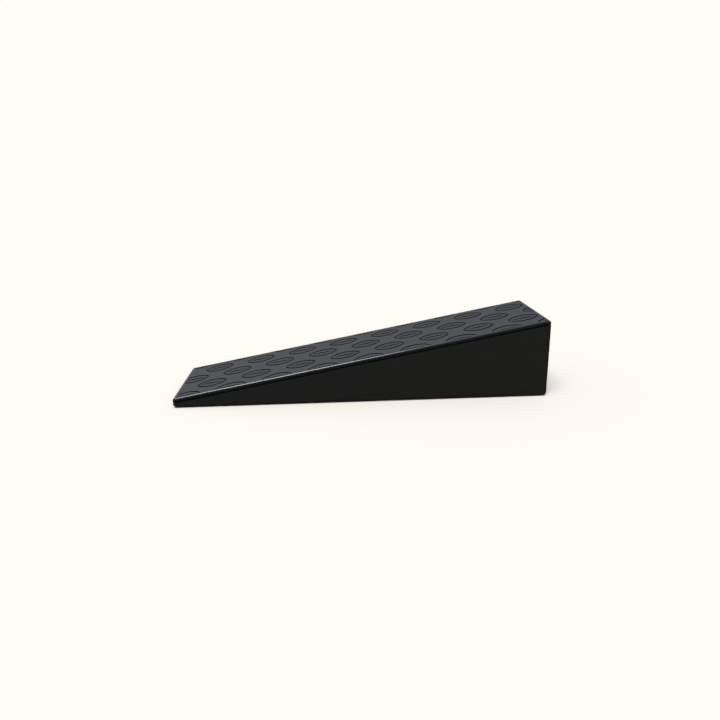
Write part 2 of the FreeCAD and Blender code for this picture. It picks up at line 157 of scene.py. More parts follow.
@dataclass(eq=False)
class Graph:
    """A node tree, with one method that adds any node.

    Attributes:
        tree: The tree that nodes are added to.
    """

    tree: bpy.types.NodeTree

    def node(self, kind: str, sockets: Sockets | None = None, **settings: object) -> bpy.types.Node:
        """Adds a node.

        Args:
            kind: Blender's name for the type of node.
            sockets: Values or links of its inputs, by name or number. A list goes into one multi-input.
            settings: Its own settings, such as operation, which are set first.

        Returns:
            The node.
        """
        made = self.tree.nodes.new(kind)
        for name, setting in settings.items():
            setattr(made, name, setting)
        for key, fed in (sockets or {}).items():
            for value in fed if isinstance(fed, list) else [fed]:
                if isinstance(value, Signal):
                    self.tree.links.new(value.socket, made.inputs[key])
                else:
                    made.inputs[key].default_value = value
        return made

    def take(
        self, kind: str, sockets: Sockets | None = None, output: str | int = 0, **settings: object
    ) -> Signal:
        """Adds a node and returns one of its outputs.

        Args:
            kind: Blender's name for the type of node.
            sockets: Values or links of its inputs.
            output: The output's name or number.
            settings: The node's own settings.

        Returns:
            The output.
        """
        return Signal(self, self.node(kind, sockets, **settings).outputs[output])

    def vector(self, x: Signal | float = 0.0, y: Signal | float = 0.0, z: Signal | float = 0.0) -> Signal:
        """Puts three values together."""
        return self.take("ShaderNodeCombineXYZ", {0: x, 1: y, 2: z})

    def split(self, vector: Signal) -> tuple[Signal, Signal, Signal]:
        """Takes a vector apart into its three values."""
        x, y, z = self.node("ShaderNodeSeparateXYZ", {0: vector}).outputs
        return Signal(self, x), Signal(self, y), Signal(self, z)

    def blend(self, mask: Signal | float, low: Signal | Colour, high: Signal | Colour) -> Signal:
        """Goes from one colour to another.

        Args:
            mask: 0 for the first colour and 1 for the second.
            low: The first colour.
            high: The second colour.

        Returns:
            The mixed colour.
        """
        low, high = (c if isinstance(c, Signal) else (*c, 1.0) for c in (low, high))
        return self.take("ShaderNodeMix", {0: mask, 6: low, 7: high}, output=2, data_type="RGBA")


class ShaderGraph(Graph):
    """The node tree of a material."""

    def __init__(self, material: bpy.types.Material) -> None:
        """Empties a material's tree.

        Args:
            material: The material to write.
        """
        material.use_nodes = True
        material.node_tree.nodes.clear()
        super().__init__(material.node_tree)

    def place(self) -> Signal:
        """Object coordinates, which are the frame's own, in metres."""
        return self.take("ShaderNodeTexCoord", output="Object")

    def noise(self, place: Signal, grain: float, detail: float = 2.0, roughness: float = 0.5) -> Signal:
        """A cloudy pattern from about 0.25 to 0.75.

        Args:
            place: Where the pattern is read.
            grain: Size of its features, in metres.
            detail: How many finer layers it has.
            roughness: How strong the finer layers are.

        Returns:
            The pattern.
        """
        sockets = {"Vector": place, "Scale": 1.0 / grain, "Detail": detail, "Roughness": roughness}
        return self.take("ShaderNodeTexNoise", sockets, output="Fac")

    def cells(self, place: Signal, grain: float, feature: str = "SMOOTH_F1") -> Signal:
        """Distance to the nearest of many scattered points, in sizes of a cell."""
        sockets = {"Vector": place, "Scale": 1.0 / grain}
        return self.take("ShaderNodeTexVoronoi", sockets, output="Distance", feature=feature)

    def stretched(self, place: Signal, squeeze: Sequence[float]) -> Signal:
        """A place for a pattern that is squeezed along each axis, or drawn out where that is below 1."""
        return self.take("ShaderNodeMapping", {"Vector": place, "Scale": squeeze})

    def relief(self, height: Signal, depth: float, under: Signal | None = None) -> Signal:
        """A surface normal from a height pattern.

        Args:
            height: The pattern, about 0 to 1.
            depth: How deep its full range is, in metres.
            under: A normal that this one is laid over.

        Returns:
            The normal.
        """
        sockets = {"Height": height, "Distance": depth, "Strength": 1.0}
        if under is not None:
            sockets["Normal"] = under
        return self.take("ShaderNodeBump", sockets)

    def principled(self, sockets: Sockets) -> Signal:
        """Blender's main shader, with its sockets filled."""
        return self.take("ShaderNodeBsdfPrincipled", sockets)

    def close(self, shader: Signal) -> None:
        """Links a shader to the material's output."""
        self.node("ShaderNodeOutputMaterial", {"Surface": shader})


class InputKind(Enum):
    """What a geometry tree's input holds."""

    NUMBER = "NodeSocketFloat"
    COUNT = "NodeSocketInt"
    MATERIAL = "NodeSocketMaterial"


class GeometryGraph(Graph):
    """A Geometry Nodes tree with named inputs, which is applied to an object as a plain mesh."""

    def __init__(self, name: str) -> None:
        """Makes an empty tree with a geometry input and output.

        Args:
            name: The tree's name.
        """
        super().__init__(bpy.data.node_groups.new(name, "GeometryNodeTree"))
        for way in ("INPUT", "OUTPUT"):
            self.tree.interface.new_socket("Geometry", in_out=way, socket_type="NodeSocketGeometry")
        self._entry = self.tree.nodes.new("NodeGroupInput")
        self._exit = self.tree.nodes.new("NodeGroupOutput")
        self._values: dict[str, object] = {}

    @property
    def base(self) -> Signal:
        """The geometry that the tree is given."""
        return Signal(self, self._entry.outputs["Geometry"])

    def input(self, name: str, value: object, kind: InputKind = InputKind.NUMBER) -> Signal:
        """Adds a named input.

        Args:
            name: The input's name.
            value: What it is set to when the tree is applied.
            kind: What it holds.

        Returns:
            The input, for use in the tree.
        """
        socket = self.tree.interface.new_socket(name, in_out="INPUT", socket_type=kind.value)
        self._values[socket.identifier] = value
        return Signal(self, self._entry.outputs[name])

    def inputs(self, owner: object, *fields: str) -> list[Signal]:
        """Adds a named input for each of some of an object's numbers.

        Args:
            owner: The object.
            fields: The numbers' names in it.

        Returns:
            The inputs, in the same order.
        """
        return [self.input(field.replace("_", " ").capitalize(), getattr(owner, field)) for field in fields]

    def grid(self, size_x: Signal, size_y: Signal, count_x: int, count_y: int) -> Signal:
        """Points in rows along both axes, round the origin."""
        sockets = {"Size X": size_x, "Size Y": size_y, "Vertices X": count_x, "Vertices Y": count_y}
        return self.take("GeometryNodeMeshGrid", sockets)

    def cylinder(self, sides: int, radius: Signal, depth: Signal | float) -> Signal:
        """A cylinder along Z, round the origin."""
        sockets = {"Vertices": sides, "Radius": radius, "Depth": depth}
        return self.take("GeometryNodeMeshCylinder", sockets)

    def moved(
        self, geometry: Signal, shift: Signal | Sequence[float], turn: Signal | Sequence[float] = STILL
    ) -> Signal:
        """Turns a geometry about the origin, and then moves it."""
        sockets = {"Geometry": geometry, "Translation": shift, "Rotation": turn}
        return self.take("GeometryNodeTransform", sockets)

    def joined(self, *geometries: Signal) -> Signal:
        """Puts geometries together."""
        return self.take("GeometryNodeJoinGeometry", {0: list(geometries)})

    def combined(self, operation: str, base: Signal, *tools: Signal) -> Signal:
        """Cuts solids out of a base, adds them to it, or keeps what they share with it.

        Args:
            operation: DIFFERENCE, UNION or INTERSECT.
            base: The solid to start from.
            tools: The other solids. None of them crosses itself.

        Returns:
            The result.
        """
        if operation == "DIFFERENCE":
            sockets = {0: base, 1: list(tools)}
        else:
            sockets = {1: [base, *tools]}
        return self.take("GeometryNodeMeshBoolean", sockets, operation=operation, solver="MANIFOLD")

    def copies(self, points: Signal, instance: Signal, turn: Signal | None = None) -> Signal:
        """Real copies of a geometry at points."""
        sockets = {"Points": points, "Instance": instance}
        if turn is not None:
            sockets["Rotation"] = turn
        placed = self.take("GeometryNodeInstanceOnPoints", sockets)
        return self.take("GeometryNodeRealizeInstances", {"Geometry": placed})

    def finish(self, geometry: Signal, obj: bpy.types.Object, material: bpy.types.Material) -> None:
        """Ends the tree and applies it.

        Args:
            geometry: The result.
            obj: The object whose mesh the tree starts from, and which gets the result as a plain mesh.
            material: The finish of the whole result.
        """
        dress = self.input("Material", material, InputKind.MATERIAL)
        whole = self.take("GeometryNodeMergeByDistance", {"Geometry": geometry, "Distance": WELD})
        real = self.take("GeometryNodeRealizeInstances", {"Geometry": whole})
        dressed = self.take("GeometryNodeSetMaterial", {"Geometry": real, "Material": dress})
        self.tree.links.new(dressed.socket, self._exit.inputs["Geometry"])
        modifier = obj.modifiers.new(self.tree.name, "NODES")
        modifier.node_group = self.tree
        for identifier, value in self._values.items():
            modifier[identifier] = value
        evaluated = obj.evaluated_get(bpy.context.evaluated_depsgraph_get())
        mesh = bpy.data.meshes.new_from_object(evaluated)
        obj.modifiers.remove(modifier)
        obj.data = mesh
        mesh.name = obj.name


# ---- Finishes ----


@dataclass(frozen=True)
class Finish(ABC):
    """A material, with what all of them share.

    Attributes:
        name: The material's name.
        colour: Its main colour.
        roughness: Its main roughness.
    """

    name: str
    colour: Colour
    roughness: float

    @abstractmethod
    def shader(self, graph: ShaderGraph) -> Signal:
        """Writes the finish's nodes and returns its shader."""

    def material(self) -> bpy.types.Material:
        """Makes the material."""
        made = bpy.data.materials.new(self.name)
        graph = ShaderGraph(made)
        graph.close(self.shader(graph))
        return made

    def tinted(self, factor: float) -> Colour:
        """The main colour, made lighter or darker."""
        red, green, blue = self.colour
        return (red * factor, green * factor, blue * factor)


@dataclass(frozen=True)
class MouldedPlastic(Finish):
    """Satin plastic out of a spark-eroded mould: a fine even grain over faint clouds of tone and gloss.

    Attributes:
        warmth: How far the clouds drift from cool to warm.
        cloud: Size of the clouds, in metres.
        cloud_gloss: How far the clouds change the roughness.
        grain: Size of the mould's grain.
        grain_depth: Depth of the mould's grain.
        grain_gloss: How far the grain changes the roughness.
        scuff_height: Height above the floor that scuffs reach, or 0 for none.
        scuff: Thickness of a scuff.
        scuff_tone: How light a scuff is beside the plastic.
        scuff_strength: How much a scuff covers, and how much it roughens.
        specular: Strength of the shine.
    """

    warmth: float = 0.07
    cloud: float = 60 * MM
    cloud_gloss: float = 0.10
    grain: float = 0.45 * MM
    grain_depth: float = 0.012 * MM
    grain_gloss: float = 0.06
    scuff_height: float = 0.0
    scuff: float = 1.6 * MM
    scuff_tone: float = 2.4
    scuff_strength: float = 0.15
    specular: float = 0.4

    def shader(self, graph: ShaderGraph) -> Signal:
        """Writes the plastic's nodes and returns its shader."""
        place = graph.place()
        clouds = graph.noise(place, self.cloud, detail=3.0)
        grain = graph.noise(place, self.grain, detail=1.0)
        red, green, blue = self.colour
        cool = (red * (1 - self.warmth), green, blue * (1 + self.warmth * 0.5))
        warm = (red * (1 + self.warmth), green, blue * (1 - self.warmth))
        colour = graph.blend(clouds.fade(0.35, 0.65), cool, warm)
        gloss = self.roughness + (clouds - 0.5) * self.cloud_gloss + (grain - 0.5) * self.grain_gloss
        if self.scuff_height:
            height = graph.split(place)[2]
            streaks = graph.noise(graph.stretched(place, (0.25, 1.0, 2.0)), self.scuff, detail=3.0)
            low = height.fade(self.scuff_height, self.scuff_height * 0.3)
            scuff = low * streaks.fade(0.54, 0.68) * self.scuff_strength
            colour = graph.blend(scuff, colour, self.tinted(self.scuff_tone))
            gloss = gloss + scuff
        sockets = {
            "Base Color": colour,
            "Roughness": gloss,
            "IOR": PLASTIC_INDEX,
            "Specular IOR Level": self.specular,
            "Normal": graph.relief(grain, self.grain_depth),
        }
        return graph.principled(sockets)


@dataclass(frozen=True)
class TreadRubber(Finish):
    """Matt engraved rubber with a smooth, shinier rolled rim and engraved grooves, both with painted shade in
    their colour.

    Attributes:
        wedge: The board's main sizes, which the rim and the grooves are found from.
        rim: Width of the smooth rim.
        rim_roughness: Roughness of the rolled rim.
        painted_rim_shade: How light the rim is beside the field.
        rim_skin: How much of a smooth skin the mould left on the rim.
        skin_roughness: Roughness of that skin.
        bloom: Size of the field's clouds, in metres.
        bloom_depth: Depth of the waves that go with the clouds.
        speckle: Size of the pale specks.
        pebble: Size of the field's pebbled grain.
        pebble_depth: Depth of that grain.
        groove_depth: Depth of the engraving.
        painted_groove_shade: How light the grooves are beside the field.
        groove_roughness: Roughness in the grooves.
        groove_shine: Strength of the shine that is left in the grooves.
    """

    wedge: "Wedge"
    rim: float = 2.9 * MM
    rim_roughness: float = 0.30
    painted_rim_shade: float = 0.22
    rim_skin: float = 0.7
    skin_roughness: float = 0.14
    bloom: float = 48 * MM
    bloom_depth: float = 0.05 * MM
    speckle: float = 2.2 * MM
    pebble: float = 0.75 * MM
    pebble_depth: float = 0.05 * MM
    groove_depth: float = 1.1 * MM
    painted_groove_shade: float = 0.2
    groove_roughness: float = 0.9
    groove_shine: float = 0.1

    def shader(self, graph: ShaderGraph) -> Signal:
        """Writes the rubber's nodes and returns its shader."""
        place = graph.place()
        x, y, z = graph.split(place)
        wedge = self.wedge
        rise = math.tan(wedge.slope)
        below = (x * rise + (wedge.toe_height + wedge.length / 2 * rise) - z) * math.cos(wedge.slope)
        inset = (wedge.width / 2 - abs(y)).least(wedge.length / 2 - abs(x))
        field = inset.fade(self.rim * 0.8, self.rim * 1.15)
        # Mask of the grooves, where painted shade goes: it blends in a dark, barely shiny shader.
        groove = below.fade(0.04 * MM, self.groove_depth * 0.35) * field
        bloom = graph.noise(place, self.bloom, detail=4.0, roughness=0.55)
        speckle = graph.noise(place, self.speckle, detail=3.0, roughness=0.65)
        pebble = graph.cells(place, self.pebble)
        colour = graph.blend(bloom.fade(0.3, 0.7), self.tinted(0.9), self.tinted(1.1))
        colour = graph.blend(speckle.fade(0.62, 0.8) * 0.35, colour, self.tinted(1.55))
        # Painted shade: the rolled rim's colour is made much darker than the field's, for the dark band of
        # shade along the rim.
        colour = graph.blend(field, self.tinted(self.painted_rim_shade), colour)
        gloss = self.roughness + (bloom - 0.5) * 0.12 + (speckle - 0.5) * 0.10
        gloss = self.rim_roughness + (gloss - self.rim_roughness) * field
        waves = graph.relief(bloom, self.bloom_depth)
        sockets = {
            "Base Color": colour,
            "Roughness": gloss,
            "IOR": RUBBER_INDEX,
            "Specular IOR Level": 0.5,
            "Coat Weight": (1 - field) * self.rim_skin,
            "Coat Roughness": self.skin_roughness,
            "Normal": graph.relief(pebble * field, self.pebble_depth, under=waves),
        }
        rubber = graph.principled(sockets)
        # Painted shade: the grooves' dark colour and weak shine stand for the shade that falls in them.
        sockets = {
            "Base Color": (*self.tinted(self.painted_groove_shade), 1.0),
            "Roughness": self.groove_roughness,
            "Specular IOR Level": self.groove_shine,
        }
        return graph.take("ShaderNodeMixShader", {0: groove, 1: rubber, 2: graph.principled(sockets)})


@dataclass(frozen=True)
class PadRubber(Finish):
    """Soft matt rubber that has picked up a little pale dust.

    Attributes:
        dust: Colour of the dust.
        speck: Size of a speck of dust, in metres.
        grain: Size of the rubber's grain.
        grain_depth: Depth of the rubber's grain.
    """

    dust: Colour = (0.16, 0.155, 0.145)
    speck: float = 1.1 * MM
    grain: float = 0.5 * MM
    grain_depth: float = 0.03 * MM

    def shader(self, graph: ShaderGraph) -> Signal:
        """Writes the rubber's nodes and returns its shader."""
        place = graph.place()
        specks = graph.noise(place, self.speck, detail=4.0, roughness=0.7)
        colour = graph.blend(specks.fade(0.58, 0.8) * 0.5, self.colour, self.dust)
        sockets = {
            "Base Color": colour,
            "Roughness": self.roughness + (specks - 0.5) * 0.2,
            "IOR": RUBBER_INDEX,
            "Normal": graph.relief(graph.cells(place, self.grain), self.grain_depth),
        }
        return graph.principled(sockets)


@dataclass(frozen=True)
class FoamAdhesive(Finish):
    """Closed-cell foam with adhesive on both faces, seen only at its cut edge.

    Attributes:
        cell: Size of the foam's cells.
        cell_depth: Depth of a cut cell.
    """

    cell: float = 0.3 * MM
    cell_depth: float = 0.05 * MM

    def shader(self, graph: ShaderGraph) -> Signal:
        """Writes the foam's nodes and returns its shader."""
        cells = graph.cells(graph.place(), self.cell, feature="F1")
        sockets = {
            "Base Color": graph.blend(cells.fade(0.2, 0.7), self.tinted(0.6), self.tinted(1.4)),
            "Roughness": self.roughness + (cells - 0.5) * 0.1,
            "Normal": graph.relief(cells, self.cell_depth),
        }
        return graph.principled(sockets)


@dataclass(frozen=True)
class ZincPlate(Finish):
    """Zinc-plated steel: metal with a faint warm and cool bloom and fine drawn marks.

    Attributes:
        bloom: Colour of the warm patches.
        patch: Size of a patch, in metres.
        mark: Thickness of a drawn mark.
        mark_depth: Depth of a drawn mark.
    """

    bloom: Colour = (0.62, 0.56, 0.42)
    patch: float = 2.5 * MM
    mark: float = 0.25 * MM
    mark_depth: float = 0.01 * MM

    def shader(self, graph: ShaderGraph) -> Signal:
        """Writes the plate's nodes and returns its shader."""
        place = graph.place()
        patches = graph.noise(place, self.patch, detail=3.0)
        marks = graph.noise(graph.stretched(place, (1.0, 1.0, 6.0)), self.mark)
        sockets = {
            "Base Color": graph.blend(patches.fade(0.45, 0.75) * 0.6, self.colour, self.bloom),
            "Metallic": 1.0,
            "Roughness": self.roughness + (marks - 0.5) * 0.25,
            "Normal": graph.relief(marks, self.mark_depth),
        }
        return graph.principled(sockets)


@dataclass(frozen=True)
class StudioPaint(Finish):
    """Pale matt paint on the studio's floor, which fades into the backdrop.

    Attributes:
        backdrop: Colour of everything beyond the floor.
        fading: Distances over which the floor becomes the backdrop, in metres.
        cloud: Size of the paint's faint clouds.
    """

    backdrop: Colour = (1.0, 0.973, 0.905)
    fading: tuple[float, float] = (0.8, 2.5)
    cloud: float = 0.5

    def shader(self, graph: ShaderGraph) -> Signal:
        """Writes the paint's nodes and returns its shader."""
        place = graph.place()
        colour = graph.blend(graph.noise(place, self.cloud), self.tinted(0.995), self.tinted(1.005))
        matt = graph.take("ShaderNodeBsdfDiffuse", {"Color": colour})
        glow = graph.take("ShaderNodeEmission", {"Color": (*self.backdrop, 1.0), "Strength": 1.0})
        away = graph.take("ShaderNodeVectorMath", {0: place}, output="Value", operation="LENGTH")
        return graph.take("ShaderNodeMixShader", {0: away.fade(*self.fading), 1: matt, 2: glow})


# ---- The board ----


@dataclass(frozen=True)
class Wedge:
    """The board's main sizes, read from the frame.

    Attributes:
        length: From toe to heel.
        width: From side to side.
        slope: Angle of the tread, in radians.
        toe_height: Height of the tread's plane at the very end of the toe.
    """

    length: float
    width: float
    slope: float
    toe_height: float

    @classmethod
    def read(cls, record: dict) -> "Wedge":
        """Finds the sizes from the tread cap's box and the mount that lies on the tread.

        Args:
            record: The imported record.

        Returns:
            The sizes.
        """
        low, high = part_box("tread_cap")
        mount = next(m for m in record["mounts"] if m["name"] == "tread_face")
        slope = math.atan2(-mount["axis"][0], mount["axis"][2])
        x, _, z = mount["pos_m"]
        return cls(high.x - low.x, high.y - low.y, slope, z - (x - low.x) * math.tan(slope))

    @property
    def normal(self) -> Vector:
        """The direction square to the tread, away from the floor."""
        return Vector((-math.sin(self.slope), 0.0, math.cos(self.slope)))

    def height(self, x: float, below: float) -> float:
        """Height above the floor, at x, of the plane that lies a distance below the tread."""
        return self.toe_height - below / math.cos(self.slope) + (x + self.length / 2) * math.tan(self.slope)


def arc_between(start: Vector, end: Vector, steps: int) -> list[Vector]:
    """Unit vectors at even angles from one to another, both included."""
    return [start.slerp(end, step / steps) for step in range(steps + 1)]


def round_outline(half_x: float, half_y: float, radius: float, steps: int) -> list[tuple[Vector, Vector]]:
    """A rectangle with round corners, anticlockwise from above.

    Args:
        half_x: Half its length.
        half_y: Half its width.
        radius: Radius of its corners.
        steps: Straight pieces in each corner.

    Returns:
        Points in the plane, each with its outward direction, and none of them twice.
    """
    outline = []
    for quarter, (sign_x, sign_y) in enumerate(((1, 1), (-1, 1), (-1, -1), (1, -1))):
        centre = Vector((sign_x * (half_x - radius), sign_y * (half_y - radius), 0.0))
        for step in range(steps + 1):
            angle = QUARTER_TURN * (quarter + step / steps)
            outward = Vector((math.cos(angle), math.sin(angle), 0.0))
            outline.append((centre + outward * radius, outward))
    return [point for i, point in enumerate(outline) if (point[0] - outline[i - 1][0]).length > WELD]


def closed_mesh(name: str, rings: list[list[Vector]]) -> bpy.types.Object:
    """An object whose skin joins rings of equally many points, with a flat face at each end.

    Args:
        name: The object's name.
        rings: Anticlockwise rings from the lowest to the highest.

    Returns:
        The object, linked to the scene.
    """
    count = len(rings[0])
    points = [point for ring in rings for point in ring]
    faces = [tuple(reversed(range(count))), tuple(range(len(points) - count, len(points)))]
    for level in range(len(rings) - 1):
        for i in range(count):
            low, turn = level * count + i, level * count + (i + 1) % count
            faces.append((low, turn, turn + count, low + count))
    mesh = bpy.data.meshes.new(name)
    mesh.from_pydata(points, [], faces)
    mesh.update()
    return new_object(name, mesh)


def new_object(name: str, mesh: bpy.types.Mesh) -> bpy.types.Object:
    """Links a mesh to the scene as an object at the origin."""
    made = bpy.data.objects.new(name, mesh)
    bpy.context.scene.collection.objects.link(made)
    return made


def smooth(piece: bpy.types.Object, angle: float) -> None:
    """Shades a piece smoothly except over sharp edges, with its flat faces kept flat.

    Args:
        piece: The piece.
        angle: Edges that turn by more than this stay sharp, in degrees.
    """
    piece.data.shade_smooth()
    piece.data.set_sharp_from_angle(angle=math.radians(angle))
    weighted = piece.modifiers.new("Weighted normals", "WEIGHTED_NORMAL")
    weighted.keep_sharp = True


class SubAssembly(ABC):
    """Some pieces of the board that are made together."""

    @abstractmethod
    def build(self) -> list[bpy.types.Object]:
        """Makes or dresses the pieces and returns them."""


@dataclass
class TreadCap(SubAssembly):
    """The rubber cap: a sloping slab with a rolled rim, engraved marks and pegs underneath.

    Attributes:
        wedge: The board's main sizes.
        finish: The rubber.
        rim: Radius of the rolled rim.
        corner: Radius of the upright corners.
        lower_edge: Radius of the rim's lower edge.
        mark_length: Length of an engraved mark.
        mark_width: Width of an engraved mark.
        groove_width: Width of the groove under its lips, at its widest.
        groove_depth: Depth of the groove at its deepest.
        bar_length: Length of the bar along the middle of a mark.
        mark_spacing: From mark to mark along a row.
        row_spacing: From row to row.
        first_mark: From the toe's end to the first mark of an inner row, up the slope.
        middle_row: The middle row's place across the board.
        peg_radius: Radius of a peg.
        peg_length: How far the pegs stand out of the slab, through the adhesive sheet and into the deck.
        first_peg: From the toe's end to the first pair of pegs, up the slope.
        peg_spacing: From pair to pair.
        peg_offset: From the board's middle line to a peg.
        lip: Share of the groove's depth that its slanting lips take.
        flare: How much wider a groove's cutter is above the surface than in it.
        lid: How far the cutter stands above the surface, in groove depths.
        bowl: Power that rounds the groove's bottom. 1 is an ellipse, and less is flatter.
        end_size: Size of the groove at the ends of a stroke, beside its full size.
        swell: Power by which it grows from there. Less is sooner.
    """

    wedge: Wedge
    finish: TreadRubber
    rim: float = 2.9 * MM
    corner: float = 3.6 * MM
    lower_edge: float = 0.5 * MM
    mark_length: float = 29.0 * MM
    mark_width: float = 19.0 * MM
    groove_width: float = 2.2 * MM
    groove_depth: float = 1.1 * MM
    bar_length: float = 20.0 * MM
    mark_spacing: float = 44.6 * MM
    row_spacing: float = 24.6 * MM
    first_mark: float = 34.1 * MM
    middle_row: float = 3.0 * MM
    peg_radius: float = 2.5 * MM
    peg_length: float = 2.6 * MM
    first_peg: float = 70.0 * MM
    peg_spacing: float = 110.0 * MM
    peg_offset: float = 22.0 * MM
    lip: float = 0.25
    flare: float = 0.9
    lid: float = 0.75
    bowl: float = 0.8
    end_size: float = 0.3
    swell: float = 0.5

    def slab(self) -> bpy.types.Object:
        """Makes the slab, with its rim rolled between the upright wall and the slope."""
        wedge = self.wedge
        thickness = self.thickness()
        outline = round_outline(wedge.length / 2, wedge.width / 2, self.corner, steps=10)
        columns = []
        for place, outward in outline:
            column = []
            for radius, below, start, end, steps in (
                (self.lower_edge, thickness - self.lower_edge, -wedge.normal, outward, 4),
                (self.rim, self.rim, outward, wedge.normal, 12),
            ):
                centre = place - outward * radius
                centre.z = wedge.height(centre.x, below)
                column += [centre + ray * radius for ray in arc_between(start, end, steps)]
            columns.append(column)
        return closed_mesh("tread", [list(ring) for ring in zip(*columns)])

    def groove(self, graph: GeometryGraph, path: Signal, half: Signal, depth: Signal, points: int) -> Signal:
        """A cutter that follows a path: a round-bottomed groove with slanting lips and tapered ends.

        Args:
            graph: The tree.
            path: The groove's middle line, on the surface.
            half: Half the groove's width under its lips.
            depth: The groove's depth.
            points: Points along the path.

        Returns:
            The cutter.
        """
        ring = graph.take("GeometryNodeCurvePrimitiveCircle", {"Resolution": 18, "Radius": 1.0})
        across, up, _ = graph.split(graph.take("GeometryNodeInputPosition"))
        lid = up.above(0.1)  # 1 on the upper half of the ring
        lip = depth * self.lip
        bowl = -lip - (depth - lip) * abs(up) ** self.bowl
        section = graph.vector(
            across * half * (1.0 + self.flare * lid),
            bowl * (1.0 - lid) + lid * depth * self.lid,
        )
        profile = graph.take("GeometryNodeSetPosition", {"Geometry": ring, "Position": section})
        even = graph.take("GeometryNodeResampleCurve", {"Curve": path, "Count": points})
        along = graph.take("GeometryNodeSplineParameter", output="Factor")
        taper = self.end_size + (1 - self.end_size) * (along * math.pi).sine() ** self.swell
        sockets = {"Curve": even, "Profile Curve": profile, "Scale": taper, "Fill Caps": True}
        return graph.take("GeometryNodeCurveToMesh", sockets)

    def lattice(self, graph: GeometryGraph) -> Signal:
        """Points of the staggered rows of marks, on the slope laid flat."""
        spacing, rows, first, middle = graph.inputs(
            self, "mark_spacing", "row_spacing", "first_mark", "middle_row"
        )
        nets = []
        for shift, along, across in ((0.0, 8, 2), (-0.5, 9, 3)):  # the inner rows, and the rest
            net = graph.grid(spacing * (along - 1), rows * 2 * (across - 1), along, across)
            nets.append(graph.moved(net, graph.vector(first + spacing * (shift + (along - 1) / 2), middle)))
        return graph.joined(*nets)

    def build(self) -> list[bpy.types.Object]:
        """Makes the cap as one piece and returns it."""
        wedge = self.wedge
        cap = self.slab()
        graph = GeometryGraph("engraved_tread")
        length, width, bar = graph.inputs(self, "mark_length", "mark_width", "bar_length")
        groove_width, depth = graph.inputs(self, "groove_width", "groove_depth")
        slope, toe_height = graph.inputs(wedge, "slope", "toe_height")
        toe = graph.input("Toe end", -wedge.length / 2)

        paths = []  # each with the number of points that its cutter gets
        ends = {"Start": graph.vector(length / -2), "End": graph.vector(length / 2), "Resolution": 64}
        for side in (1.0, -1.0):
            bow = {**ends, "Middle": graph.vector(0.0, width * (side / 2))}
            paths.append((graph.take("GeometryNodeCurveArc", bow, mode="POINTS"), 40))
        ends = {"Start": graph.vector(bar / -2), "End": graph.vector(bar / 2)}
        paths.append((graph.take("GeometryNodeCurvePrimitiveLine", ends), 24))

        points = self.lattice(graph)
        shift, turn = graph.vector(toe, 0.0, toe_height), graph.vector(0.0, -slope)
        margin = graph.input("Margin", self.rim * 1.1) * 2
        size = graph.vector(wedge.length - margin, wedge.width - margin, wedge.length)
        field = graph.take("GeometryNodeMeshCube", {"Size": size})
        cutters = []
        for path, count in paths:
            cutter = self.groove(graph, path, groove_width / 2, depth, count)
            row = graph.moved(graph.copies(points, cutter), shift, turn)
            cutters.append(graph.combined("INTERSECT", row, field))
        engraved = graph.combined("DIFFERENCE", graph.base, *cutters)

        peg_length, peg_radius, first_peg = graph.inputs(self, "peg_length", "peg_radius", "first_peg")
        peg_spacing, peg_offset = graph.inputs(self, "peg_spacing", "peg_offset")
        underside = graph.input("Underside", self.thickness())
        peg = graph.cylinder(32, peg_radius, peg_length * 1.5)  # a third of it is inside the slab
        peg = graph.moved(peg, graph.vector(0.0, 0.0, peg_length * -0.25 - underside))
        placed = graph.copies(graph.grid(peg_spacing * 2, peg_offset * 2, 3, 2), peg)
        placed = graph.moved(placed, graph.vector(first_peg + peg_spacing))
        whole = graph.combined("UNION", engraved, graph.moved(placed, shift, turn))

        graph.finish(whole, cap, self.finish.material())
        smooth(cap, 50.0)
        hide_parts("tread_cap")
        return [cap]

    def thickness(self) -> float:
        """Thickness of the slab, square to the slope."""
        return (self.wedge.toe_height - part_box("tread_cap")[0].z) * math.cos(self.wedge.slope)


class Run(Enum):
    """Which way a foot pad lies. The value is its turn about the vertical."""

    LENGTHWISE = 0.0
    CROSSWISE = QUARTER_TURN


